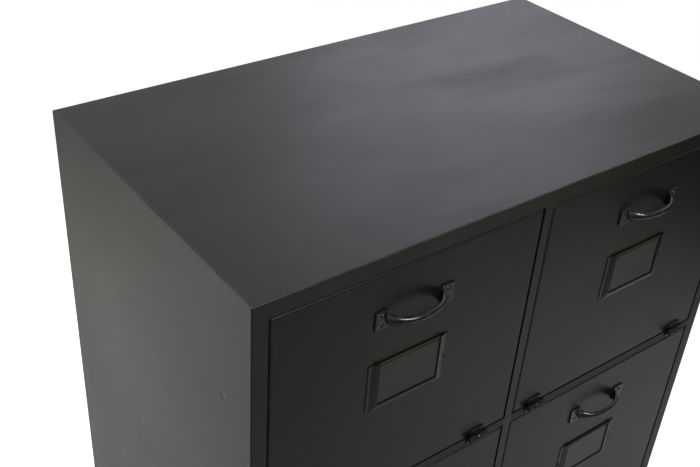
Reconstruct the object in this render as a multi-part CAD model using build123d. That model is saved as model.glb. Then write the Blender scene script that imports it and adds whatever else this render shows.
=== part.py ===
from build123d import *
import os

# A tall sheet-steel flap cabinet: two columns of drop-front flaps in a folded case on short legs.
# Frame: +Z up, front towards -Y, +X to the right seen from the front, origin on the floor in the
# middle of the bounding box. All sizes are in millimetres.

# Driving dimensions
ROWS = 4
CASE_WIDTH = 700
CASE_DEPTH = 400
FLAP_HEIGHT = 285.5
STILE = 17
TOP_RAIL = 18
BOTTOM_RAIL = 18
RAIL = 11
MULLION = 11
GAP = 2
LEG_HEIGHT = 98
SHEET = 1.5
RETURN_DEPTH = 30
EDGE_RADIUS = 1.4

# Flap, a folded pan with a lip round its back
PAN_SHEET = 1.2
PAN_DEPTH = 15
PAN_LIP = 12
PAN_RADIUS = 2.0

# Bow handle, measured down from the flap's top edge
HANDLE_DROP = 53
HANDLE_WIDTH = 96
HANDLE_REACH = 20
FOOT_WIDTH = 15.75
FOOT_HEIGHT = 22
FOOT_THICKNESS = 2
FOOT_CORNER = 1.5
STRAP_THICKNESS = 4
STRAP_END_HEIGHT = 15
STRAP_MIDDLE_HEIGHT = 8
HANDLE_RIVET_PITCH = 10.7
HANDLE_RIVET_INSET = 8

# Label holder, measured down from the flap's top edge to its middle
LABEL_DROP = 137
LABEL_WIDTH = 93.2
LABEL_HEIGHT = 62
LABEL_SIDE_BORDER = 8.6
LABEL_BASE_BORDER = 8.6
LABEL_RISE = 3.5
LABEL_SHEET = 0.8
LABEL_FLANGE = 4.2
LABEL_CORNER = 3
WINDOW_CORNER = 0.6
CARD_THICKNESS = 0.9
CARD_MARGIN = 1.5
CARD_TOP_MARGIN = 0.5

# Butt hinge at the flap's bottom edge
AXIS_REACH = 4.5
BARREL_RADIUS = 3.5
PIN_RADIUS = 1.75
PIN_PLAY = 0.05
HINGE_LENGTH = 26
FRAME_KNUCKLE = 9
KNUCKLE_GAP = 1.2
LEAF_PLAY = 0.5
LEAF_THICKNESS = 1.5
LEAF_HEIGHT = 8
LEAF_INSET = 2.5
HINGE_CENTRE_LEFT_COLUMN = 44
HINGE_CENTRE_RIGHT_COLUMN = 33
FRAME_LEAF_DROP = 9

# Rivets
RIVET_HEAD_RADIUS = 2.4
LABEL_RIVET_HEAD_RADIUS = 1.9
RIVET_HEAD_HEIGHT = 1.2
RIVET_SHANK_RADIUS = 1.5
RIVET_TAIL_RADIUS = 2.2
RIVET_TAIL_HEIGHT = 0.8
RIVET_HOLE_RADIUS = 1.6
RIVET_HOLE_REACH = 4

# Legs, glides and magnetic catches
LEG_TOP = 70
LEG_FOOT = 34
LEG_SHEET = 2.5
GLIDE_RADIUS = 12
GLIDE_HEIGHT = 6
GLIDE_INSET = 16
CATCH_SIZE = (46, 14, 14)
CATCH_PLAY = 0.4

# Derived places
FRONT = -(CASE_DEPTH + HANDLE_REACH) / 2 + HANDLE_REACH
BACK = FRONT + CASE_DEPTH
HALF = CASE_WIDTH / 2
PITCH = FLAP_HEIGHT + RAIL + 2 * GAP
CASE_HEIGHT = TOP_RAIL + ROWS * (FLAP_HEIGHT + 2 * GAP) + (ROWS - 1) * RAIL + BOTTOM_RAIL
CASE_TOP = LEG_HEIGHT + CASE_HEIGHT
FLAP_WIDTH = (CASE_WIDTH - 2 * STILE - MULLION - 4 * GAP) / 2
AXIS_Y = FRONT - AXIS_REACH
COLUMNS = {"left": -1, "right": 1}


def block(x, y, z):
    """A box from three (low, high) pairs."""
    size = [pair[1] - pair[0] for pair in (x, y, z)]
    middle = [(pair[0] + pair[1]) / 2 for pair in (x, y, z)]
    return Pos(*middle) * Box(*size)


def write(name, *solids):
    """One STEP file for one node, of one solid or a group of separate solids."""
    shape = solids[0] if len(solids) == 1 else Compound(children=list(solids))
    shape.label = name
    export_step(shape, f"parts/{name}.step")


def flap_top(row):
    """Height of a flap's top edge, counting rows from the top."""
    return CASE_TOP - TOP_RAIL - GAP - row * PITCH


def flap_left(side):
    """Left edge of a flap in the left (-1) or right (1) column."""
    return MULLION / 2 + GAP if side > 0 else -MULLION / 2 - GAP - FLAP_WIDTH


def axis_height(row):
    """Height of a flap's hinge axis, halfway up the gap below it."""
    return flap_top(row) - FLAP_HEIGHT - GAP / 2


def hinge_starts(side):
    """Left ends of the two hinges on a flap, their middles set in alike from its side edges."""
    left = flap_left(side)
    inset = HINGE_CENTRE_RIGHT_COLUMN if side > 0 else HINGE_CENTRE_LEFT_COLUMN
    middles = (left + inset, left + FLAP_WIDTH - inset)
    return [middle - HINGE_LENGTH / 2 for middle in middles]


def rounded_long_edges(solid, axis, picked):
    """Fillets the straight edges along an axis that the test picks."""
    edges = [edge for edge in solid.edges().filter_by(axis) if picked(edge.center())]
    return fillet(edges, EDGE_RADIUS)


# The case

def side_panel(side):
    """Side sheet, with the face stile folded in at the front and a return at the back."""
    outer, inner = side * HALF, side * (HALF - SHEET)
    jamb = side * (HALF - STILE)
    jamb_back = side * (HALF - STILE + SHEET)
    tall = (LEG_HEIGHT, CASE_TOP - SHEET)
    stile_tall = (LEG_HEIGHT + BOTTOM_RAIL, CASE_TOP - TOP_RAIL)
    sheet = block(sorted((outer, inner)), (FRONT, BACK), tall)
    stile = block(sorted((outer, jamb)), (FRONT, FRONT + SHEET), stile_tall)
    lip = block(sorted((jamb, jamb_back)), (FRONT, FRONT + RETURN_DEPTH), stile_tall)
    rear = block(sorted((outer, jamb)), (BACK - SHEET, BACK), tall)
    panel = sheet + stile + lip + rear
    for ends in ((CASE_TOP - TOP_RAIL, CASE_TOP), (LEG_HEIGHT, LEG_HEIGHT + BOTTOM_RAIL)):
        panel -= block(sorted((outer, inner)), (FRONT, FRONT + SHEET), ends)
    corner = side * HALF
    return rounded_long_edges(
        panel, Axis.Z, lambda p: abs(p.X - corner) < 0.1 and abs(p.Y - FRONT) < 0.1)


def top_panel():
    """Top sheet, its front edge folded down into the top rail and back into a return."""
    sheet = block((-HALF, HALF), (FRONT, BACK), (CASE_TOP - SHEET, CASE_TOP))
    rail = block((-HALF, HALF), (FRONT, FRONT + SHEET), (CASE_TOP - TOP_RAIL, CASE_TOP))
    inside = HALF - SHEET
    rail_base = (CASE_TOP - TOP_RAIL, CASE_TOP - TOP_RAIL + SHEET)
    lip = block((-inside, inside), (FRONT, FRONT + RETURN_DEPTH), rail_base)
    panel = sheet + rail + lip
    panel = rounded_long_edges(
        panel, Axis.X, lambda p: abs(p.Y - FRONT) < 0.1 and abs(p.Z - CASE_TOP) < 0.1)
    panel = rounded_long_edges(
        panel, Axis.Y, lambda p: abs(abs(p.X) - HALF) < 0.1 and abs(p.Z - CASE_TOP) < 0.1)
    return panel


def base_panel():
    """Bottom deck, its front edge folded down into the bottom rail and back into a return."""
    inside = HALF - SHEET
    deck_top = LEG_HEIGHT + BOTTOM_RAIL
    deck = block((-inside, inside), (FRONT, BACK - SHEET), (deck_top - SHEET, deck_top))
    rail = block((-HALF, HALF), (FRONT, FRONT + SHEET), (LEG_HEIGHT, deck_top))
    lip = block((-inside, inside), (FRONT, FRONT + RETURN_DEPTH), (LEG_HEIGHT, LEG_HEIGHT + SHEET))
    rear = block((-inside, inside), (BACK - 2 * SHEET, BACK - SHEET), (LEG_HEIGHT, deck_top))
    return deck + rail + lip + rear


def back_panel():
    """Flat back sheet inside the side panels' returns."""
    inside = HALF - SHEET
    tall = (LEG_HEIGHT + BOTTOM_RAIL, CASE_TOP - SHEET)
    return block((-inside, inside), (BACK - 2 * SHEET, BACK - SHEET), tall)


def centre_partition():
    """Upright sheet between the columns, with the channel-shaped mullion at its front."""
    half = MULLION / 2
    tall = (LEG_HEIGHT + BOTTOM_RAIL, CASE_TOP - TOP_RAIL)
    channel = block((-half, half), (FRONT, FRONT + RETURN_DEPTH), tall)
    channel -= block((SHEET - half, half - SHEET), (FRONT + SHEET, FRONT + RETURN_DEPTH), tall)
    sheet_deep = (FRONT + SHEET, BACK - 2 * SHEET)
    rear_deep = (FRONT + RETURN_DEPTH, BACK - 2 * SHEET)
    sheet = block((-SHEET / 2, SHEET / 2), sheet_deep, tall)
    top = block((-SHEET / 2, SHEET / 2), rear_deep, (CASE_TOP - TOP_RAIL, CASE_TOP - SHEET))
    return channel + sheet + top


def shelf(row, side):
    """Deck under one compartment, its front edge folded into the rail between two flaps."""
    top = flap_top(row) - FLAP_HEIGHT - GAP
    opening = sorted((side * MULLION / 2, side * (HALF - STILE)))
    wall_to_wall = sorted((side * SHEET / 2, side * (HALF - SHEET)))
    deck = block(wall_to_wall, (FRONT + RETURN_DEPTH, BACK - 2 * SHEET), (top - SHEET, top))
    front_deck = block(opening, (FRONT, FRONT + RETURN_DEPTH), (top - SHEET, top))
    rail = block(opening, (FRONT, FRONT + SHEET), (top - RAIL, top))
    lip = block(opening, (FRONT, FRONT + RETURN_DEPTH), (top - RAIL, top - RAIL + SHEET))
    return deck + front_deck + rail + lip


def leg(x_side, y_side):
    """Folded corner leg, tapering to a square foot plate."""
    x_corner, y_corner = x_side * HALF, FRONT if y_side < 0 else BACK
    foot = GLIDE_HEIGHT - LEG_HEIGHT
    outline = Polygon((0, 0), (LEG_TOP, 0), (LEG_FOOT, foot), (0, foot), align=None)
    front_wing = extrude(Plane.XZ * outline, LEG_SHEET, dir=(0, 1, 0))
    side_wing = extrude(Plane.YZ * outline, LEG_SHEET, dir=(1, 0, 0))
    plate = block((0, LEG_FOOT), (0, LEG_FOOT), (foot, foot + LEG_SHEET))
    shape = front_wing + side_wing + plate
    if x_side > 0:
        shape = mirror(shape, Plane.YZ)
    if y_side > 0:
        shape = mirror(shape, Plane.XZ)
    return Pos(x_corner, y_corner, LEG_HEIGHT) * shape


def foot_glide(x_side, y_side):
    """Round glide under a leg's foot plate."""
    x = x_side * (HALF - GLIDE_INSET)
    y = FRONT + GLIDE_INSET if y_side < 0 else BACK - GLIDE_INSET
    disc = Cylinder(GLIDE_RADIUS, GLIDE_HEIGHT, align=(Align.CENTER, Align.CENTER, Align.MIN))
    disc = chamfer(disc.edges().sort_by(Axis.Z)[0], 1)
    return Pos(x, y, 0) * disc


def magnet_catch(row, side):
    """Magnetic catch block under the rail above a flap, just behind the pan's lip."""
    wide, deep, tall = CATCH_SIZE
    x = flap_left(side) + FLAP_WIDTH / 2
    y = FRONT + PAN_DEPTH + CATCH_PLAY
    z = flap_top(row) + GAP
    body = block((x - wide / 2, x + wide / 2), (y, y + deep), (z - tall, z))
    return chamfer(body.edges().filter_by(Axis.Z), 1)


# The flap

def rivet(x, z, seat, grip, head_radius=RIVET_HEAD_RADIUS):
    """A round-head rivet whose head sits at seat and whose shank grips that much sheet."""
    shank = Cylinder(RIVET_SHANK_RADIUS, grip, align=(Align.CENTER, Align.CENTER, Align.MAX))
    head_ball = (head_radius**2 + RIVET_HEAD_HEIGHT**2) / (2 * RIVET_HEAD_HEIGHT)
    ball = Pos(0, 0, RIVET_HEAD_HEIGHT - head_ball) * Sphere(head_ball)
    above = block((-head_ball, head_ball), (-head_ball, head_ball), (0, 2 * head_ball))
    tail = Cylinder(RIVET_TAIL_RADIUS, RIVET_TAIL_HEIGHT, align=(Align.CENTER, Align.CENTER, Align.MAX))
    whole = (ball & above) + shank + Pos(0, 0, -grip) * tail
    return Pos(x, seat, z) * Rot(90, 0, 0) * whole


def handle_rivet_places(row, side):
    """Middles of the four rivets that hold a handle's foot plates."""
    x = flap_left(side) + FLAP_WIDTH / 2
    z = flap_top(row) - HANDLE_DROP
    reach = HANDLE_WIDTH / 2 - HANDLE_RIVET_INSET
    half_pitch = HANDLE_RIVET_PITCH / 2
    return [(x + sx * reach, z + sz * half_pitch) for sx in (-1, 1) for sz in (-1, 1)]


def label_rivet_places(row, side):
    """Middles of the two rivets in the label holder's side flanges."""
    x = flap_left(side) + FLAP_WIDTH / 2
    z = flap_top(row) - LABEL_DROP
    reach = LABEL_WIDTH / 2 + LABEL_FLANGE / 2
    return [(x - reach, z), (x + reach, z)]


def hinge_rivet_places(row, side):
    """Middle of the rivet in each hinge leaf, over the long knuckle."""
    z = axis_height(row) + LEAF_HEIGHT / 2 + LEAF_INSET
    offset = HINGE_LENGTH * 3 / 4
    return [(start + offset, z) for start in hinge_starts(side)]


def drilled(shape, places):
    """A shape with a rivet hole through it, front to back, at each place."""
    for x, z in places:
        hole = Cylinder(RIVET_HOLE_RADIUS, 2 * RIVET_HOLE_REACH)
        shape -= Pos(x, FRONT, z) * Rot(90, 0, 0) * hole
    return shape


def flap_panel(row, side):
    """Folded pan with rounded outer edges and a lip round the open back."""
    left, top = flap_left(side), flap_top(row)
    x, z = (left, left + FLAP_WIDTH), (top - FLAP_HEIGHT, top)
    pan = block(x, (FRONT, FRONT + PAN_DEPTH), z)
    front_face = pan.faces().sort_by(Axis.Y)[0]
    pan = fillet(list(front_face.edges()) + list(pan.edges().filter_by(Axis.Y)), PAN_RADIUS)
    pan -= block(
        (x[0] + PAN_SHEET, x[1] - PAN_SHEET),
        (FRONT + PAN_SHEET, FRONT + PAN_DEPTH - PAN_SHEET),
        (z[0] + PAN_SHEET, z[1] - PAN_SHEET))
    pan -= block(
        (x[0] + PAN_LIP, x[1] - PAN_LIP),
        (FRONT + PAN_DEPTH - PAN_SHEET, FRONT + PAN_DEPTH),
        (z[0] + PAN_LIP, z[1] - PAN_LIP))
    places = handle_rivet_places(row, side) + label_rivet_places(row, side)
    return drilled(pan, places + hinge_rivet_places(row, side))


def handle(row, side):
    """Bow handle: a strap that springs from two riveted foot plates, widening towards them."""
    x = flap_left(side) + FLAP_WIDTH / 2
    z = flap_top(row) - HANDLE_DROP
    foot_inner = HANDLE_WIDTH / 2 - FOOT_WIDTH
    root = foot_inner + STRAP_THICKNESS
    # Seen from above, the strap is half of an elliptical ring.
    ring = Ellipse(root, HANDLE_REACH) - Ellipse(foot_inner, HANDLE_REACH - STRAP_THICKNESS)
    band = extrude(ring, STRAP_END_HEIGHT / 2, both=True)
    band &= block((-root, root), (-HANDLE_REACH, 0), (-STRAP_END_HEIGHT, STRAP_END_HEIGHT))
    # Seen from the front: the strap narrows from its feet to the middle in one long curve.
    half_end, half_middle = STRAP_END_HEIGHT / 2, STRAP_MIDDLE_HEIGHT / 2
    top_curve = ThreePointArc((-root, half_end), (0, half_middle), (root, half_end))
    bottom_curve = ThreePointArc((-root, -half_end), (0, -half_middle), (root, -half_end))
    ends = Line((-root, half_end), (-root, -half_end)) + Line((root, half_end), (root, -half_end))
    outline = make_face(top_curve + bottom_curve + ends)
    waist = extrude(Plane.XZ * outline, HANDLE_REACH + 1, both=True)
    strap = band & waist
    plates = []
    for sign in (-1, 1):
        outer_edge, inner_edge = sign * HANDLE_WIDTH / 2, sign * foot_inner
        tall = (-FOOT_HEIGHT / 2, FOOT_HEIGHT / 2)
        plate = block(sorted((outer_edge, inner_edge)), (-FOOT_THICKNESS, 0), tall)
        plates.append(fillet(plate.edges().filter_by(Axis.Y), FOOT_CORNER))
    shape = strap + plates[0] + plates[1]
    return drilled(Pos(x, FRONT, z) * shape, handle_rivet_places(row, side))


def label_outline(half_wide, low, corner):
    """A rectangle with rounded lower corners that reaches above the label holder's open top."""
    high = LABEL_HEIGHT / 2 + LABEL_BASE_BORDER
    outline = Pos(0, (low + high) / 2) * Rectangle(2 * half_wide, high - low)
    return fillet(outline.vertices().sort_by(Axis.Y)[:2], corner)


def sloped_block(foot, rise):
    """The label holder as a solid block: straight up to the foot's height, then sloping in to the window."""
    base = label_outline(LABEL_WIDTH / 2, -LABEL_HEIGHT / 2, LABEL_CORNER)
    window_half = LABEL_WIDTH / 2 - LABEL_SIDE_BORDER
    crown = label_outline(window_half, LABEL_BASE_BORDER - LABEL_HEIGHT / 2, WINDOW_CORNER)
    shape = loft([(Pos(0, 0, foot) * base).face(), (Pos(0, 0, rise) * crown).face()], ruled=True)
    return shape + extrude(base, foot) if foot else shape


def label_frame(row, side):
    """Label holder open at the top: three sloping borders round the window, with side flanges."""
    x = flap_left(side) + FLAP_WIDTH / 2
    z = flap_top(row) - LABEL_DROP
    shape = sloped_block(LABEL_SHEET, LABEL_RISE) - sloped_block(0, LABEL_RISE - LABEL_SHEET)
    window_half = LABEL_WIDTH / 2 - LABEL_SIDE_BORDER
    tall = (-LABEL_HEIGHT / 2, LABEL_HEIGHT / 2)
    window_tall = (LABEL_BASE_BORDER - LABEL_HEIGHT / 2, LABEL_HEIGHT)
    shape -= block((-window_half, window_half), window_tall, (0, 2 * LABEL_RISE))
    shape &= block((-LABEL_WIDTH, LABEL_WIDTH), tall, (0, 2 * LABEL_RISE))
    for sign in (-1, 1):
        edge = sign * LABEL_WIDTH / 2
        flange = sorted((edge - sign * LABEL_SHEET, edge + sign * LABEL_FLANGE))
        flange_tall = (LABEL_CORNER - LABEL_HEIGHT / 2, LABEL_HEIGHT / 2)
        shape += block(flange, flange_tall, (0, LABEL_SHEET))
    return drilled(Pos(x, FRONT, z) * Rot(90, 0, 0) * shape, label_rivet_places(row, side))


def label_card(row, side):
    """Stiff card in the label holder, slid in from the top and held under the sloping borders."""
    x = flap_left(side) + FLAP_WIDTH / 2
    z = flap_top(row) - LABEL_DROP
    half_wide = LABEL_WIDTH / 2 - LABEL_SIDE_BORDER + CARD_MARGIN
    low = z - LABEL_HEIGHT / 2 + LABEL_BASE_BORDER - CARD_MARGIN
    high = z + LABEL_HEIGHT / 2 - CARD_TOP_MARGIN
    lip_height = LABEL_RISE - LABEL_SHEET
    face = FRONT - lip_height * (1 - CARD_MARGIN / LABEL_BASE_BORDER)
    return block((x - half_wide, x + half_wide), (face, face + CARD_THICKNESS), (low, high))


# The hinge

def knuckle(start, length, z, bore):
    """A hinge knuckle along X."""
    tube = Cylinder(BARREL_RADIUS, length) - Cylinder(bore, length)
    return Pos(start + length / 2, AXIS_Y, z) * Rot(0, 90, 0) * tube


def hinge_leaf(start, row, places):
    """The flap's leaf: a small plate on its face, curled into the longer knuckle."""
    z = axis_height(row)
    length = HINGE_LENGTH - FRAME_KNUCKLE - KNUCKLE_GAP
    knuckle_start = start + FRAME_KNUCKLE + KNUCKLE_GAP
    plate_z = (z + LEAF_INSET, z + LEAF_INSET + LEAF_HEIGHT)
    right_end = start + HINGE_LENGTH - LEAF_INSET
    leaf_y = (FRONT - LEAF_THICKNESS, FRONT)
    curl_y = (AXIS_Y + PIN_RADIUS + LEAF_PLAY, FRONT - LEAF_THICKNESS)
    plate = block((start + LEAF_INSET, right_end), leaf_y, plate_z)
    plate = fillet(plate.edges().filter_by(Axis.Y).sort_by(Axis.Z)[-2:], 2)
    neck = block((knuckle_start, right_end), leaf_y, (z + 1, plate_z[0]))
    neck += block((knuckle_start, right_end), curl_y, (z + 1, z + LEAF_INSET))
    curl = knuckle(knuckle_start, length, z, PIN_RADIUS + PIN_PLAY)
    return drilled(plate + neck + curl, places)


def frame_leaf(start, row):
    """The case's leaf: a strip on the rail's face, curled into the shorter knuckle."""
    z = axis_height(row)
    below_barrel = z - BARREL_RADIUS - LEAF_PLAY
    right_end = start + HINGE_LENGTH - LEAF_INSET
    leaf_y = (FRONT - LEAF_THICKNESS, FRONT)
    strip = block((start, right_end), leaf_y, (z - FRAME_LEAF_DROP, below_barrel))
    neck_y = (AXIS_Y + PIN_RADIUS + LEAF_PLAY, FRONT)
    neck = block((start, start + FRAME_KNUCKLE), neck_y, (below_barrel, z - 1))
    return strip + neck + knuckle(start, FRAME_KNUCKLE, z, PIN_RADIUS + PIN_PLAY / 2)


def hinge_pin(start, row):
    """Hinge pin with slightly domed ends just proud of the barrel."""
    pin = Cylinder(PIN_RADIUS, HINGE_LENGTH + 1.6)
    pin = chamfer(pin.edges().filter_by(GeomType.CIRCLE), 0.5)
    return Pos(start + HINGE_LENGTH / 2, AXIS_Y, axis_height(row)) * Rot(0, 90, 0) * pin


def write_case():
    write("top_panel", top_panel())
    write("side_panel_left", side_panel(-1))
    write("side_panel_right", side_panel(1))
    write("base_panel", base_panel())
    write("back_panel", back_panel())
    write("centre_partition", centre_partition())
    cells = [(row, side) for row in range(ROWS) for side in COLUMNS.values()]
    corners = [(x_side, y_side) for x_side in (-1, 1) for y_side in (-1, 1)]
    write("shelves", *[shelf(row, side) for row, side in cells if row < ROWS - 1])
    write("legs", *[leg(*corner) for corner in corners])
    write("foot_glides", *[foot_glide(*corner) for corner in corners])
    write("magnet_catches", *[magnet_catch(row, side) for row, side in cells])
    hinges = [(start, row) for row, side in cells for start in hinge_starts(side)]
    write("hinge_frame_leaves", *[frame_leaf(start, row) for start, row in hinges])
    write("hinge_pins", *[hinge_pin(start, row) for start, row in hinges])


def write_flap(row, column, side):
    name = f"flap_{row + 1}_{column}"
    write(f"{name}_panel", flap_panel(row, side))
    write(f"{name}_handle", handle(row, side))
    write(f"{name}_label_frame", label_frame(row, side))
    write(f"{name}_label_card", label_card(row, side))
    places = hinge_rivet_places(row, side)
    leaves = [hinge_leaf(start, row, places) for start in hinge_starts(side)]
    write(f"{name}_hinge_leaves", *leaves)
    rivets = [
        rivet(x, z, FRONT - FOOT_THICKNESS, FOOT_THICKNESS + PAN_SHEET)
        for x, z in handle_rivet_places(row, side)]
    rivets += [
        rivet(x, z, FRONT - LABEL_SHEET, LABEL_SHEET + PAN_SHEET, LABEL_RIVET_HEAD_RADIUS)
        for x, z in label_rivet_places(row, side)]
    rivets += [rivet(x, z, FRONT - LEAF_THICKNESS, LEAF_THICKNESS + PAN_SHEET) for x, z in places]
    write(f"{name}_rivets", *rivets)


os.makedirs("parts", exist_ok=True)
write_case()
for row in range(ROWS):
    for column, side in COLUMNS.items():
        write_flap(row, column, side)
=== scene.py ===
import math

import bmesh
import bpy
from mathutils import Matrix, Vector


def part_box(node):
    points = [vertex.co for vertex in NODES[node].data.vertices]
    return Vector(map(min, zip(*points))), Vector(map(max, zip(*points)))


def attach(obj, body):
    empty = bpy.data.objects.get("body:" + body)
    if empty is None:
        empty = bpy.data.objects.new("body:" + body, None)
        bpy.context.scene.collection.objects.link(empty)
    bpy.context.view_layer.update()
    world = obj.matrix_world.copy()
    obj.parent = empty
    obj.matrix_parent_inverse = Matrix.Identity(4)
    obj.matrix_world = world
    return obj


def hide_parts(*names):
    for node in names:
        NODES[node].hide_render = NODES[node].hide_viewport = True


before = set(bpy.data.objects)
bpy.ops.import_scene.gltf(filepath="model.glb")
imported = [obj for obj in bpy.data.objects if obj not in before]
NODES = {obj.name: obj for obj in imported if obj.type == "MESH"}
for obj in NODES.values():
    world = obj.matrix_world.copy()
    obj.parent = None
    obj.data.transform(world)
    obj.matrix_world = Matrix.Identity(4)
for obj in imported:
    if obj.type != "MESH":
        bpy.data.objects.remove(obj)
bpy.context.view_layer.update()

MM = 0.001

# Places read from the frame
top_low, top_high = (Vector(corner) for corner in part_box("top_panel"))
CASE_WIDTH = top_high.x - top_low.x
LEFT = top_low.x
FRONT = top_low.y
TOP = top_high.z
FLAPS = [
    name.removesuffix("_panel") for name in sorted(NODES)
    if name.startswith("flap_") and name.endswith("_panel")]

# Sizes of the pieces made here
STRAP_THICKNESS = 4 * MM
STRAP_MIDDLE_HEIGHT = 8 * MM
STRAP_END_HEIGHT = 15 * MM
FOOT_WIDTH = 15.75 * MM
FOOT_THICKNESS = 2 * MM
FOOT_CORNER = 1.5 * MM
FOOT_EASE = 0.5 * MM
HOLDER_FLANGE = 4.2 * MM
HOLDER_SIDE_BORDER = 8.6 * MM
HOLDER_BASE_BORDER = 8.6 * MM
HOLDER_SHEET = 0.8 * MM
HOLDER_CORNER = 3 * MM
HOLDER_EASE = 0.3 * MM
HINGE_EASE = 0.3 * MM
CARD_BOW = 0.25 * MM

# How finely the pieces are cut, and the area from which a flat face is shaded flat
PATH_STEPS = 48
SECTION_STEPS = 24
ROUND_SHARE = 0.75
CORNER_STEPS = 4
CARD_COLUMNS = 24
CARD_ROWS = 14
LARGE_FACE = 60 * MM * MM

# Wear and painted tint: where the dull smears on the top lie, how yellow a painted reflection tint makes
# the fronts, and dents in the left side
SMEAR_SHIFT = (-0.54, 0.89, 0.0)
FRONT_REFLECTION_TINT = 0.2
LEFT_SIDE_DENTS = (
    (LEFT, FRONT + 48 * MM, TOP - 133 * MM),
    (LEFT, FRONT + 233 * MM, TOP - 313 * MM))
DENT_RADIUS = 8 * MM
DENT_DEPTH = 2 * MM

# The camera: its place from the top front left corner in cabinet widths, and its directions
CAMERA_OFFSET = Vector((-0.48716, -0.77809, 0.72904))
CAMERA_FORWARD = Vector((0.51913, 0.64635, -0.55923))
CAMERA_DOWN = Vector((-0.29388, -0.47942, -0.82691))
CAMERA_LENS = 51.81
CAMERA_SENSOR = 36.0


# Helpers

def add_node(tree, kind, settings=None, **inputs):
    """A shader node with its settings and inputs. An input that is a socket is linked, else it is set."""
    node = tree.nodes.new("ShaderNode" + kind)
    for name, value in (settings or {}).items():
        setattr(node, name, value)
    for name, value in inputs.items():
        socket = node.inputs[int(name[1:])] if name[0] == "i" and name[1:].isdigit() else node.inputs[name]
        if isinstance(value, bpy.types.NodeSocket):
            tree.links.new(value, socket)
        else:
            socket.default_value = value
    return node


def new_material(name, **constants):
    """A material with one Principled shader, and the inputs that are the same all over."""
    material = bpy.data.materials.new(name)
    material.use_nodes = True
    tree = material.node_tree
    shader = tree.nodes["Principled BSDF"]
    for key, value in constants.items():
        shader.inputs[key.replace("_", " ")].default_value = value
    return material, tree, shader


def place(tree, scale=(1, 1, 1), offset=(0, 0, 0)):
    """The point's place in the frame, in metres, stretched and moved."""
    source = add_node(tree, "TexCoord").outputs["Object"]
    return add_node(tree, "Mapping", Vector=source, Scale=scale, Location=offset).outputs["Vector"]


def noise(tree, vector, scale, detail=4.0, roughness=0.5, distortion=0.0):
    """Noise from 0 to 1."""
    return add_node(
        tree, "TexNoise", Vector=vector, Scale=scale, Detail=detail, Roughness=roughness,
        Distortion=distortion).outputs["Fac"]


def along(tree, vector, axis):
    """A vector's part along one axis."""
    return add_node(tree, "SeparateXYZ", Vector=vector).outputs[axis]


def spread(tree, value, low, high, out_low, out_high):
    """A value's range from low to high, mapped to another and clamped."""
    return add_node(
        tree, "MapRange", {"clamp": True}, Value=value,
        **{"From Min": low, "From Max": high, "To Min": out_low, "To Max": out_high}).outputs["Result"]


def maths(tree, operation, a, b=0.0):
    """A Math node."""
    return add_node(tree, "Math", {"operation": operation}, i0=a, i1=b).outputs[0]


def mixed(tree, factor, a, b, blend="MIX"):
    """A colour between a and b."""
    node = add_node(tree, "Mix", {"data_type": "RGBA", "blend_type": blend}, Factor=factor)
    for index, value in ((6, a), (7, b)):
        if isinstance(value, bpy.types.NodeSocket):
            tree.links.new(value, node.inputs[index])
        else:
            node.inputs[index].default_value = value
    return node.outputs[2]


def bump(tree, height, strength, distance, normal=None):
    """A Bump node, on top of another when one is given."""
    node = add_node(tree, "Bump", Height=height, Strength=strength, Distance=distance)
    if normal is not None:
        tree.links.new(normal, node.inputs["Normal"])
    return node.outputs["Normal"]


def grey(value, warm=0.0):
    """A near-black or grey colour, slightly yellow, or blue when warm is negative."""
    return (value * (1 + 0.2 * warm), value, value * (1 - warm), 1)


# Materials

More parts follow.
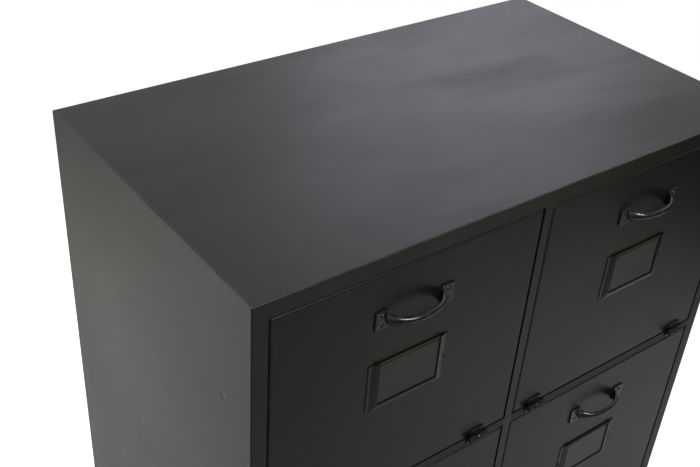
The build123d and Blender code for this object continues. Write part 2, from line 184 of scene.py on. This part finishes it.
def lacquer(
        name, dark, light, rough, cloud, streak=(1, 1, 1), shift=(0, 0, 0), warm=0.02,
        rub_and_highlight=0.0, rims="XZ", wavy=0.0, dull=0.0, dents=()):
    """Black satin lacquer on sheet steel: a cloudy patina, orange peel and light scratches."""
    material, tree, shader = new_material(name, IOR=1.6)
    clouds = noise(tree, place(tree, streak, shift), 4.0, 5.0, 0.55, 0.4)
    mottle = noise(tree, place(tree, streak, (3.1, 1.7, 0.4)), 23.0, 6.0, 0.6)
    patina = maths(tree, "ADD", maths(tree, "MULTIPLY", clouds, 0.7), maths(tree, "MULTIPLY", mottle, 0.3))
    half_range = 0.22 / (cloud + 0.5)
    patina = spread(tree, patina, 0.5 - half_range, 0.5 + half_range, 0.0, 1.0)
    colour = mixed(tree, patina, grey(dark, warm), grey(light, warm))
    # Painted reflection tint: the lacquer that faces the front is made yellower, standing in for the
    # yellower light the fronts reflect
    facing = add_node(tree, "NewGeometry").outputs["Normal"]
    front_reflection_mask = spread(tree, along(tree, facing, "Y"), -0.95, -0.85, 1.0, 0.0)
    front_reflection_colour = mixed(tree, patina, grey(dark, FRONT_REFLECTION_TINT), grey(light, FRONT_REFLECTION_TINT))
    colour = mixed(tree, front_reflection_mask, colour, front_reflection_colour)
    # Fine scratches, long and thin, each way
    scratch_fields = [
        noise(tree, place(tree, scale, (5.0, 2.0, 7.0)), 1.0, 2.0, 0.5, 0.6)
        for scale in ((6, 300, 300), (300, 300, 9))]
    scratches = spread(tree, maths(tree, "MAXIMUM", *scratch_fields), 0.74, 0.80, 0.0, 1.0)
    colour = mixed(tree, maths(tree, "MULTIPLY", scratches, 0.35), colour, grey(light * 2.2, warm))
    # Rims made lighter: partly rubbed lacquer, partly a painted edge highlight
    if rub_and_highlight:
        colour = rubbed_and_highlit_edges(tree, colour, rub_and_highlight, rims)
    tree.links.new(colour, shader.inputs["Base Color"])
    base_rough = spread(tree, patina, 0.0, 1.0, rough + 0.05, rough - 0.03)
    marked = maths(tree, "ADD", base_rough, maths(tree, "MULTIPLY", scratches, 0.1))
    tree.links.new(marked, shader.inputs["Roughness"])
    if dull:
        tree.links.new(smeared_sheen(tree, dull), shader.inputs["Specular IOR Level"])
    peel = noise(tree, place(tree), 420.0, 2.0, 0.5)
    normal = bump(tree, peel, 0.05, 0.2 * MM)
    if wavy:
        waves = noise(tree, place(tree, offset=(0.7, 0.2, 0.9)), 5.0, 1.0, 0.4)
        normal = bump(tree, waves, wavy, 10 * MM, normal)
    for centre in dents:
        normal = dented(tree, normal, centre)
    tree.links.new(normal, shader.inputs["Normal"])
    return material


def dented(tree, normal, centre):
    """A shallow ragged dent in the sheet, under a centimetre across."""
    point = place(tree)
    away = add_node(tree, "VectorMath", {"operation": "DISTANCE"}, i0=point, i1=centre).outputs["Value"]
    ragged = maths(tree, "MULTIPLY", noise(tree, point, 160.0, 2.0, 0.5), DENT_RADIUS / 2)
    hollow = spread(tree, maths(tree, "ADD", away, ragged), DENT_RADIUS / 4, DENT_RADIUS, 0.0, 1.0)
    return bump(tree, hollow, 0.4, DENT_DEPTH, normal)


def smeared_sheen(tree, amount):
    """A specular level that drops in long smears, mostly towards the right."""
    smears = noise(tree, place(tree, (0.7, 2.4, 1), SMEAR_SHIFT), 4.5, 4.0, 0.5, 0.8)
    smears = spread(tree, smears, 0.44, 0.66, 0.0, 1.0)
    to_the_right = spread(tree, along(tree, place(tree), "X"), -0.2, 0.15, 0.25, 1.0)
    patches = maths(tree, "MULTIPLY", smears, to_the_right)
    return spread(tree, patches, 0.0, 1.0, 0.52, 0.52 - amount)


def rubbed_and_highlit_edges(tree, colour, amount, rims):
    """Lacquer rubbed thin in patches, together with a painted edge highlight, at the ends of a node's own
    box along the two axes named.
    """
    generated = add_node(tree, "TexCoord").outputs["Generated"]
    reaches = [
        maths(tree, "ABSOLUTE", maths(tree, "SUBTRACT", along(tree, generated, axis), 0.5))
        for axis in rims]
    edge = spread(tree, maths(tree, "MAXIMUM", *reaches), 0.4955, 0.4985, 0.0, 1.0)
    patches = spread(tree, noise(tree, place(tree), 30.0, 5.0, 0.7), 0.3, 0.65, 0.2, 1.0)
    mask = maths(tree, "MULTIPLY", maths(tree, "MULTIPLY", edge, patches), amount)
    if "Z" not in rims:
        # On a level sheet only the upper side is rubbed and given the painted highlight, not what is
        # folded down from it
        upper = spread(tree, along(tree, generated, "Z"), 0.9, 0.96, 0.0, 1.0)
        mask = maths(tree, "MULTIPLY", mask, upper)
    # The lighter rim colour is partly rubbed lacquer and partly a painted highlight along the edges
    return mixed(tree, mask, colour, (0.11, 0.10, 0.09, 1))


def gloss_black(name):
    """Dipped black enamel for the handles, a little uneven, with duller and lighter rubbed spots."""
    material, tree, shader = new_material(name, IOR=1.85)
    rub = spread(tree, noise(tree, place(tree), 90.0, 4.0, 0.6), 0.42, 0.78, 0.0, 1.0)
    colour = mixed(tree, rub, grey(0.012), grey(0.035, 0.05))
    tree.links.new(colour, shader.inputs["Base Color"])
    tree.links.new(spread(tree, rub, 0.0, 1.0, 0.25, 0.34), shader.inputs["Roughness"])
    drips = noise(tree, place(tree), 160.0, 3.0, 0.5)
    tree.links.new(bump(tree, drips, 0.06, 0.6 * MM), shader.inputs["Normal"])
    return material


def dark_steel(name, value, rough):
    """Blackened steel with lighter, smoother spots."""
    material, tree, shader = new_material(name, IOR=2.0, Metallic=0.6)
    rub = spread(tree, noise(tree, place(tree), 260.0, 4.0, 0.6), 0.45, 0.7, 0.0, 1.0)
    tree.links.new(mixed(tree, rub, grey(value), grey(value * 3.0, 0.04)), shader.inputs["Base Color"])
    tree.links.new(spread(tree, rub, 0.0, 1.0, rough, rough * 0.7), shader.inputs["Roughness"])
    return material


def card_face(name):
    """The insert's face: dark board under a slightly wavy film."""
    material, tree, shader = new_material(name, IOR=1.6)
    fibre = noise(tree, place(tree, (1, 1, 2.5)), 260.0, 4.0, 0.6)
    tree.links.new(mixed(tree, fibre, grey(0.024, 0.12), grey(0.034, 0.12)), shader.inputs["Base Color"])
    tree.links.new(spread(tree, fibre, 0.3, 0.7, 0.3, 0.36), shader.inputs["Roughness"])
    film = noise(tree, place(tree, (1, 1, 1.6)), 16.0, 1.0, 0.4, 0.3)
    tree.links.new(bump(tree, film, 0.3, 3 * MM), shader.inputs["Normal"])
    return material


def card_edge(name):
    """The insert's cut edge, brown kraft board."""
    material, tree, shader = new_material(name, Roughness=0.85)
    fibre = noise(tree, place(tree, (0.4, 6, 6)), 70.0, 3.0, 0.7)
    colour = mixed(tree, fibre, (0.07, 0.045, 0.032, 1), (0.22, 0.13, 0.085, 1))
    tree.links.new(colour, shader.inputs["Base Color"])
    return material


def moulded(name, value, rough, grain):
    """Matt moulded rubber or plastic with a fine grain."""
    material, tree, shader = new_material(name)
    field = noise(tree, place(tree), grain, 3.0, 0.6)
    tree.links.new(mixed(tree, field, grey(value), grey(value * 1.6)), shader.inputs["Base Color"])
    tree.links.new(spread(tree, field, 0.3, 0.7, rough, rough + 0.12), shader.inputs["Roughness"])
    tree.links.new(bump(tree, field, 0.15, 0.5 * MM), shader.inputs["Normal"])
    return material


MATERIALS = {
    "top": lacquer(
        "lacquer_top", dark=0.014, light=0.024, rough=0.34, cloud=0.5, streak=(1, 2.6, 1),
        shift=(0.8, -0.94, 0), warm=-0.03, rub_and_highlight=0.9, rims="XY", wavy=0.04, dull=0.22),
    "side": lacquer(
        "lacquer_side", dark=0.016, light=0.024, rough=0.42, cloud=0.3, wavy=0.08,
        dents=LEFT_SIDE_DENTS),
    "frame": lacquer("lacquer_frame", dark=0.012, light=0.02, rough=0.36, cloud=0.4, wavy=0.03),
    "flap": lacquer(
        "lacquer_flap", dark=0.009, light=0.014, rough=0.34, cloud=0.3, rub_and_highlight=0.4, wavy=0.08),
    "fitting": lacquer("lacquer_fitting", dark=0.012, light=0.022, rough=0.3, cloud=0.6),
    "inside": lacquer("lacquer_inside", dark=0.014, light=0.02, rough=0.5, cloud=0.3),
    "handle": gloss_black("handle_enamel"),
    "rivet": dark_steel("rivet_steel", value=0.02, rough=0.34),
    "pin": dark_steel("pin_steel", value=0.05, rough=0.3),
    "card": card_face("card_face"),
    "card_edge": card_edge("card_edge"),
    "rubber": moulded("glide_rubber", value=0.012, rough=0.6, grain=900.0),
    "plastic": moulded("catch_plastic", value=0.02, rough=0.45, grain=1200.0),
}

NODE_MATERIALS = {
    "top_panel": "top", "side_panel_left": "side", "side_panel_right": "side", "back_panel": "side",
    "base_panel": "frame", "centre_partition": "frame", "shelves": "inside", "legs": "side",
    "foot_glides": "rubber", "magnet_catches": "plastic", "hinge_frame_leaves": "fitting",
    "hinge_pins": "pin",
}
FLAP_MATERIALS = {
    "panel": "flap", "handle": "handle", "label_frame": "fitting", "label_card": "card",
    "hinge_leaves": "fitting", "rivets": "rivet",
}


def give_material(obj, key):
    """Puts one material in place of whatever the object has."""
    obj.data.materials.clear()
    obj.data.materials.append(MATERIALS[key])


def dress_nodes():
    """Every CAD node gets its material."""
    for name, key in NODE_MATERIALS.items():
        give_material(NODES[name], key)
    for flap in FLAPS:
        for part, key in FLAP_MATERIALS.items():
            give_material(NODES[f"{flap}_{part}"], key)


# Pieces

def node_box(node):
    """The low and high corners of a node's box."""
    low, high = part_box(node)
    return Vector(low), Vector(high)


def finished_mesh(shape, name, *materials):
    """The mesh of a finished shape, with its materials."""
    mesh = bpy.data.meshes.new(name)
    bmesh.ops.recalc_face_normals(shape, faces=shape.faces)
    shape.to_mesh(mesh)
    shape.free()
    for key in materials:
        mesh.materials.append(MATERIALS[key])
    return mesh


def new_piece(name, mesh, body, node):
    """An object that rides on a body and stands for a CAD node."""
    piece = bpy.data.objects.new(name, mesh)
    bpy.context.collection.objects.link(piece)
    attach(piece, body)
    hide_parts(node)
    return piece


def put_on_face(piece, node):
    """Moves a piece, made about its own middle, to where a node's box meets the flap's face."""
    low, high = node_box(node)
    piece.location = ((low.x + high.x) / 2, high.y, (low.z + high.z) / 2)


def softened(node, name, body, width):
    """A copy of a CAD node, in the node's material, with its sharp edges rounded over."""
    mesh = NODES[node].data.copy()
    shape = bmesh.new()
    shape.from_mesh(mesh)
    bmesh.ops.remove_doubles(shape, verts=shape.verts, dist=1e-6)
    bmesh.ops.dissolve_limit(shape, angle_limit=math.radians(0.6), verts=shape.verts, edges=shape.edges)
    shape.to_mesh(mesh)
    shape.free()
    mesh.polygons.foreach_set("use_smooth", [True] * len(mesh.polygons))
    piece = new_piece(name, mesh, body, node)
    bevel = piece.modifiers.new("rounded", "BEVEL")
    bevel.width = width
    bevel.segments = 2
    bevel.limit_method = "ANGLE"
    bevel.angle_limit = math.radians(8)
    bevel.harden_normals = True
    return piece


def edges_at(corners):
    """The edges that meet some vertices, each one once."""
    return list(dict.fromkeys(edge for corner in corners for edge in corner.link_edges))


def bridge(shape, rings):
    """Faces between neighbouring rings of vertices, and one across each end."""
    for first, second in zip(rings, rings[1:]):
        for corner in range(len(first)):
            after = (corner + 1) % len(first)
            shape.faces.new((first[corner], first[after], second[after], second[corner]))
    shape.faces.new(rings[0][::-1])
    shape.faces.new(rings[-1])


def strap_section(share, height, thickness):
    """A point a share of the way round the strap's section: how far outward, and how far up."""
    if share < ROUND_SHARE:
        # The rounded outside, from the bottom to the top
        angle = math.pi * (share / ROUND_SHARE - 0.5)
        return thickness * (abs(math.cos(angle)) ** 0.9 - 0.5), math.sin(angle) * height / 2
    # The flat inside, from the top back to the bottom
    fallen = (share - ROUND_SHARE) / (1 - ROUND_SHARE)
    return -thickness / 2, (0.5 - fallen) * height * 0.9


def handle_mesh(half_width, reach, foot_height):
    """Bow handle about its own middle on the flap's face: a half-oval strap on two foot plates."""
    shape = bmesh.new()
    foot_inner = half_width - FOOT_WIDTH
    long_axis = foot_inner + STRAP_THICKNESS / 2
    short_axis = reach - STRAP_THICKNESS / 2
    rings = []
    for step in range(PATH_STEPS + 1):
        turn = math.pi * step / PATH_STEPS
        side = abs(math.cos(turn))
        middle = Vector((-long_axis * math.cos(turn), -short_axis * math.sin(turn), 0))
        outward = Vector((-short_axis * math.cos(turn), -long_axis * math.sin(turn), 0)).normalized()
        height = STRAP_MIDDLE_HEIGHT + (STRAP_END_HEIGHT - STRAP_MIDDLE_HEIGHT) * side ** 5
        thickness = STRAP_THICKNESS * (1 + 0.35 * side ** 12)
        ring = []
        for corner in range(SECTION_STEPS):
            out, up = strap_section(corner / SECTION_STEPS, height, thickness)
            ring.append(shape.verts.new(middle + outward * out + Vector((0, 0, up))))
        rings.append(ring)
    bridge(shape, rings)
    for sign in (-1, 1):
        add_foot(shape, sign * (half_width - FOOT_WIDTH / 2), foot_height)
    mesh = finished_mesh(shape, "bow_handle", "handle")
    mesh.set_sharp_from_angle(angle=math.radians(40))
    for face in mesh.polygons:
        on_foot = abs(face.center.y + FOOT_THICKNESS) < 0.01 * MM
        face.use_smooth = not on_foot or abs(face.normal.y) < 0.99
    return mesh


def add_foot(shape, x, height):
    """A foot plate with rounded corners and a rounded front edge."""
    size = Matrix.Diagonal((FOOT_WIDTH, FOOT_THICKNESS, height, 1))
    matrix = Matrix.Translation((x, -FOOT_THICKNESS / 2, 0)) @ size
    plate = bmesh.ops.create_cube(shape, size=1, matrix=matrix)["verts"]
    across = [
        edge for edge in edges_at(plate)
        if abs((edge.verts[0].co - edge.verts[1].co).y) > FOOT_THICKNESS / 2]
    rounded = bmesh.ops.bevel(
        shape, geom=across, offset=FOOT_CORNER, segments=4, affect="EDGES", profile=0.5)
    round_corners = [corner for face in rounded["faces"] for corner in face.verts]
    front = [
        edge for edge in edges_at(round_corners)
        if all(abs(end.co.y + FOOT_THICKNESS) < 1e-6 for end in edge.verts)]
    outline = [
        edge for edge in front
        if sum(abs(face.normal.y) < 0.5 for face in edge.link_faces) == 1]
    bmesh.ops.bevel(
        shape, geom=outline, offset=FOOT_EASE, segments=3, affect="EDGES", profile=0.5)


def card_mesh(low, high):
    """The insert, its face slightly hollow, with the cut edges in a second material."""
    shape = bmesh.new()
    front = card_sheet(shape, low, high, low.y, CARD_BOW)
    back = card_sheet(shape, low, high, high.y, 0.0)
    rim = [(column, 0) for column in range(CARD_COLUMNS)]
    rim += [(CARD_COLUMNS, row) for row in range(CARD_ROWS)]
    rim += [(column, CARD_ROWS) for column in range(CARD_COLUMNS, 0, -1)]
    rim += [(0, row) for row in range(CARD_ROWS, 0, -1)]
    for here, there in zip(rim, rim[1:] + rim[:1]):
        face = shape.faces.new((front[here], front[there], back[there], back[here]))
        face.material_index = 1
    for face in shape.faces:
        face.smooth = face.material_index == 0
    return finished_mesh(shape, "card", "card", "card_edge")


def card_sheet(shape, low, high, depth, bow):
    """One side of the insert: a grid that dips in the middle. Its vertices, by column and row."""
    sheet = {}
    for column in range(CARD_COLUMNS + 1):
        for row in range(CARD_ROWS + 1):
            across = column / CARD_COLUMNS
            up = row / CARD_ROWS
            dip = bow * math.sin(math.pi * across) * math.sin(math.pi * up * 0.8)
            sheet[column, row] = shape.verts.new((
                low.x + (high.x - low.x) * across, depth + dip, low.z + (high.z - low.z) * up))
    for column in range(CARD_COLUMNS):
        for row in range(CARD_ROWS):
            shape.faces.new((
                sheet[column, row], sheet[column + 1, row],
                sheet[column + 1, row + 1], sheet[column, row + 1]))
    return sheet


def lower_left_corner(x, z, radius):
    """Points round a corner, from the left side down to the bottom."""
    angles = [math.pi * (1 + step / CORNER_STEPS / 2) for step in range(CORNER_STEPS + 1)]
    return [
        (x + radius * (1 + math.cos(angle)), z + radius * (1 + math.sin(angle)))
        for angle in angles]


def holder_mesh(half_width, half_height, rise):
    """Label holder about its own middle on the flap's face: a sheet that slopes round three sides."""
    shape = bmesh.new()
    outer_half = half_width - HOLDER_FLANGE
    window_half = outer_half - HOLDER_SIDE_BORDER
    # The window's edge and the foot's outline, from the left top end to the right, point for point
    window_path = [(-window_half, half_height)]
    window_path += lower_left_corner(-window_half, HOLDER_BASE_BORDER - half_height, HOLDER_EASE)
    foot_path = [(-outer_half, half_height)]
    foot_path += lower_left_corner(-outer_half, -half_height, HOLDER_CORNER)
    window_path += [(-x, z) for x, z in reversed(window_path)]
    foot_path += [(-x, z) for x, z in reversed(foot_path)]
    section = holder_section(rise)
    rings = []
    for (window_x, window_z), (foot_x, foot_z) in zip(window_path, foot_path):
        ring = []
        for share, height in section:
            x = window_x + (foot_x - window_x) * share
            z = window_z + (foot_z - window_z) * share
            ring.append(shape.verts.new((x, -height, z)))
        rings.append(ring)
    bridge(shape, rings)
    for sign in (-1, 1):
        middle = sign * (outer_half + half_width - HOLDER_SHEET) / 2
        add_flange(shape, middle, HOLDER_CORNER - half_height, half_height)
    mesh = finished_mesh(shape, "label_holder", "fitting")
    mesh.polygons.foreach_set("use_smooth", [True] * len(mesh.polygons))
    mesh.set_sharp_from_angle(angle=math.radians(28))
    for face in mesh.polygons:
        face.use_smooth = face.area < LARGE_FACE or abs(face.normal.y) < 0.999
    return mesh


def holder_section(rise):
    """The sheet's section: shares of the way from the window's edge to the foot, and heights."""
    lip = [
        (0.0, rise - HOLDER_SHEET), (0.0, rise - HOLDER_EASE),
        (0.008, rise - 0.1 * MM), (0.03, rise)]
    slope = [
        (0.35, rise * 0.74 + HOLDER_SHEET * 0.26), (0.7, rise * 0.36 + HOLDER_SHEET * 0.64)]
    foot = [
        (0.97, HOLDER_SHEET * 1.06), (0.992, HOLDER_SHEET * 0.9),
        (1.0, HOLDER_SHEET * 0.65), (1.0, 0.0)]
    return lip + slope + foot


def add_flange(shape, x, low, high):
    """A flat strip beside the holder's slope, with softened edges."""
    size = Matrix.Diagonal((HOLDER_FLANGE + HOLDER_SHEET, HOLDER_SHEET, high - low, 1))
    matrix = Matrix.Translation((x, -HOLDER_SHEET / 2, (high + low) / 2)) @ size
    strip = bmesh.ops.create_cube(shape, size=1, matrix=matrix)["verts"]
    bmesh.ops.bevel(
        shape, geom=edges_at(strip), offset=HOLDER_EASE, segments=2, affect="EDGES", profile=0.5)


def make_handles():
    """Each flap's handle, one mesh for all, at its CAD node's place."""
    low, high = node_box(f"{FLAPS[0]}_handle")
    mesh = handle_mesh((high.x - low.x) / 2, high.y - low.y, high.z - low.z)
    for flap in FLAPS:
        node = f"{flap}_handle"
        piece = new_piece(f"{flap}_bow_handle", mesh, flap, node)
        put_on_face(piece, node)


def make_labels():
    """Each flap's label holder, one mesh for all, and its insert, at their CAD nodes' places."""
    low, high = node_box(f"{FLAPS[0]}_label_frame")
    mesh = holder_mesh((high.x - low.x) / 2, (high.z - low.z) / 2, high.y - low.y)
    for flap in FLAPS:
        node = f"{flap}_label_frame"
        holder = new_piece(f"{flap}_label_holder", mesh, flap, node)
        put_on_face(holder, node)
        node = f"{flap}_label_card"
        new_piece(f"{flap}_label_insert", card_mesh(*node_box(node)), flap, node)


def make_hinges():
    """Hinge leaves with softened edges."""
    for flap in FLAPS:
        node = f"{flap}_hinge_leaves"
        softened(node, f"{flap}_hinge_leaf_pair", flap, HINGE_EASE)
    softened("hinge_frame_leaves", "hinge_case_leaves", "case", HINGE_EASE)


# Studio

def make_camera():
    """The camera at the photograph's viewing angle."""
    forward = CAMERA_FORWARD.normalized()
    right = CAMERA_DOWN.cross(forward).normalized()
    up = right.cross(forward).normalized()
    turn = Matrix((right, up, -forward)).transposed().to_4x4()
    data = bpy.data.cameras.new("camera")
    data.lens = CAMERA_LENS
    data.sensor_width = CAMERA_SENSOR
    data.clip_end = 50
    camera = bpy.data.objects.new("camera", data)
    where = Vector((LEFT, FRONT, TOP)) + CAMERA_OFFSET * CASE_WIDTH
    camera.matrix_world = Matrix.Translation(where) @ turn
    bpy.context.collection.objects.link(camera)
    bpy.context.scene.camera = camera


def area_light(name, where, target, size, radiance, tint=(1, 1, 1), fan=180):
    """A soft rectangular light that faces a point, with its brightness, tint and widest angle."""
    data = bpy.data.lights.new(name, "AREA")
    data.shape = "RECTANGLE"
    data.size, data.size_y = size
    data.energy = radiance * math.pi * size[0] * size[1]
    data.color = tint
    data.spread = math.radians(fan)
    light = bpy.data.objects.new(name, data)
    light.location = where
    light.rotation_euler = (Vector(target) - Vector(where)).to_track_quat("-Z", "Y").to_euler()
    light.visible_camera = False
    bpy.context.collection.objects.link(light)


def make_world():
    """Plain studio surroundings: white where the camera sees them, dimmer in front of the cabinet."""
    world = bpy.data.worlds.new("studio")
    bpy.context.scene.world = world
    world.use_nodes = True
    tree = world.node_tree
    direction = add_node(tree, "TexCoord").outputs["Generated"]
    x, y, z = (along(tree, direction, axis) for axis in "XYZ")
    behind = spread(tree, y, -0.2, 0.5, 0.08, 0.58)
    left = spread(tree, x, -1.0, -0.2, 0.33, 0.0)
    # A bright patch at the upper right, straight out from the side
    right = maths(
        tree, "MULTIPLY", spread(tree, x, 0.3, 0.65, 0.0, 0.6), spread(tree, y, 0.1, 0.35, 1.0, 0.0))
    right = maths(tree, "MULTIPLY", right, spread(tree, y, -0.35, -0.15, 0.0, 1.0))
    right = maths(tree, "MULTIPLY", right, spread(tree, z, 0.3, 0.5, 0.0, 2.0))
    sides = maths(tree, "ADD", maths(tree, "ADD", behind, left), right)
    # Dark below the horizon, dimmer again overhead
    horizon = spread(tree, z, -0.2, -0.05, 0.09, 1.0)
    zenith = spread(tree, z, 0.36, 0.8, 1.1, 0.42)
    level = maths(tree, "MULTIPLY", sides, maths(tree, "MULTIPLY", horizon, zenith))
    is_camera = add_node(tree, "LightPath").outputs["Is Camera Ray"]
    strength = add_node(
        tree, "Mix", {"data_type": "FLOAT"}, Factor=is_camera, A=level, B=1.0).outputs["Result"]
    background = tree.nodes["Background"]
    tree.links.new(strength, background.inputs["Strength"])
    background.inputs["Color"].default_value = (1, 1, 1, 1)


def make_floor():
    """A pale floor that ends a little way in front of the cabinet, lit up where the camera sees it."""
    left, right, front, back = -9.0, 2.0, -1.9, 12.0
    mesh = bpy.data.meshes.new("floor")
    shape = bmesh.new()
    corners = [
        shape.verts.new((x, y, 0))
        for x, y in ((left, front), (right, front), (right, back), (left, back))]
    shape.faces.new(corners)
    shape.to_mesh(mesh)
    shape.free()
    mesh.materials.append(floor_paper())
    floor = bpy.data.objects.new("floor", mesh)
    bpy.context.collection.objects.link(floor)


def floor_paper():
    """Pale paper, yellower away from the cabinet, and shaded in front of it, most at the left."""
    material, tree, shader = new_material(
        "floor_paper", Roughness=0.9, Emission_Color=(1, 1, 1, 1))
    point = place(tree)
    grain = noise(tree, point, 6.0, 3.0, 0.5)
    away = add_node(tree, "VectorMath", {"operation": "LENGTH"}, i0=point).outputs["Value"]
    near = mixed(tree, grain, (0.84, 0.84, 0.86, 1), (0.88, 0.88, 0.9, 1))
    far = mixed(tree, grain, (0.82, 0.82, 0.76, 1), (0.86, 0.86, 0.8, 1))
    paper = mixed(tree, spread(tree, away, 1.1, 1.8, 0.0, 1.0), near, far)
    x, y = (along(tree, point, axis) for axis in "XY")
    shade = maths(
        tree, "MAXIMUM", spread(tree, y, -0.7, 0.2, 0.0, 1.0), spread(tree, x, -0.9, 0.7, 0.25, 0.8))
    shade = maths(tree, "MULTIPLY", shade, spread(tree, y, -1.5, -1.0, 0.62, 1.0))
    shade_colour = add_node(tree, "CombineColor", Red=shade, Green=shade, Blue=shade).outputs[0]
    shaded = mixed(tree, 1.0, paper, shade_colour, "MULTIPLY")
    tree.links.new(shaded, shader.inputs["Base Color"])
    is_camera = add_node(tree, "LightPath").outputs["Is Camera Ray"]
    tree.links.new(maths(tree, "MULTIPLY", is_camera, 0.75), shader.inputs["Emission Strength"])
    return material


def make_lights():
    """Softboxes: one behind for the top's sheen, two aimed at the floor, one in front for the handles."""
    area_light(
        "back_sheen", (2.0, 1.95, 2.75), (0.1, 0.0, TOP), (1.3, 0.9), 1.3, tint=(0.97, 0.92, 1.14))
    area_light("left_floor", (-1.2, 1.75, 2.5), (-1.05, 1.45, 0), (1.0, 1.0), 3.1, fan=72)
    area_light("near_floor", (1.3, -0.74, 1.15), (1.27, -0.74, 0), (0.45, 0.45), 1.3, fan=80)
    area_light("front_strip", (-0.05, -2.3, 2.7), (0.0, FRONT, 1.1), (1.05, 0.3), 25.0)


dress_nodes()
make_handles()
make_labels()
make_hinges()
make_camera()
make_world()
make_floor()
make_lights()
bpy.context.scene.view_settings.view_transform = "Standard"
